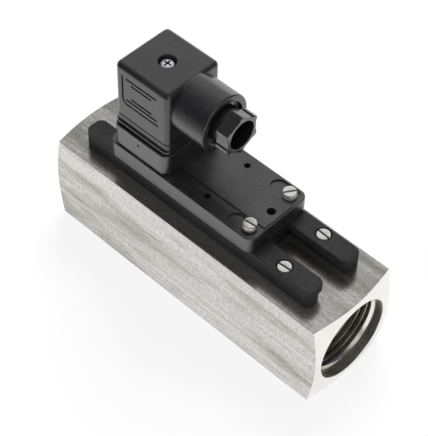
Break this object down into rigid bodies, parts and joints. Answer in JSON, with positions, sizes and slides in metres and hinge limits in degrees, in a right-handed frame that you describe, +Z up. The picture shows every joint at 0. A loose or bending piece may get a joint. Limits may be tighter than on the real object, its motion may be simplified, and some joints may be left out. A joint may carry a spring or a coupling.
{
  "type": "variable area flow switch",
  "caption": "Inline flow switch: square stainless body with threaded ports, a spring-loaded magnet float inside, and a reed switch head with plug connector that slides on rails.",
  "frame": {"origin": "middle of the body's flat underside", "axes": "+X along the flow axis from inlet to outlet, +Z up towards the switch head, +Y to the rear rail"},
  "size_m": [0.1326, 0.04, 0.0938],
  "materials": {
    "body_steel": "brushed stainless bar, streaks along the flow axis",
    "insert_steel": "turned stainless",
    "spring_steel": "drawn wire",
    "nickel": "nickel plated",
    "brass": "turned brass",
    "magnet": "dark sintered magnet",
    "rail_plastic": "black moulding",
    "housing_plastic": "dark grey moulding with a fine grain",
    "plug_plastic": "dark grey moulding",
    "block_plastic": "grey moulding",
    "rubber": "black rubber",
    "glass": "clear glass"
  },
  "bodies": {
    "meter": {"meter_body": "body_steel", "front_guide_rail": "rail_plastic", "rear_guide_rail": "rail_plastic", "rail_screws": "nickel", "measuring_sleeve": "insert_steel", "sleeve_seal": "rubber", "inlet_guide_cross": "insert_steel", "outlet_guide_cross": "insert_steel", "guide_rod": "insert_steel", "rod_nuts": "insert_steel", "retaining_rings": "spring_steel", "return_spring": "spring_steel"},
    "float": {"float_body": "insert_steel", "ring_magnets": "magnet", "magnet_cap": "insert_steel", "float_bushes": "brass"},
    "switch_head": {"switch_housing": "housing_plastic", "reed_capsule": "glass", "reed_leads": "nickel", "reed_cover": "housing_plastic", "clamp_bushes": "brass", "clamp_screws": "nickel", "pin_base": "block_plastic", "contact_blades": "nickel", "flat_gasket": "rubber", "connector_shell": "plug_plastic", "terminal_block": "block_plastic", "terminal_screws": "nickel", "centre_screw": "nickel", "gland_nut": "plug_plastic", "thrust_washer": "nickel", "gland_seal": "rubber"}
  },
  "joints": [
    {"name": "float_slide", "type": "slide", "parent": "meter", "child": "float", "axis": [1, 0, 0], "range_m": [0, 0.025], "stiffness_N_per_m": 60, "springref_m": -0.008, "deforming": ["return_spring"]},
    {"name": "head_slide", "type": "slide", "parent": "meter", "child": "switch_head", "axis": [1, 0, 0], "range_m": [-0.0135, 0.025]}
  ]
}
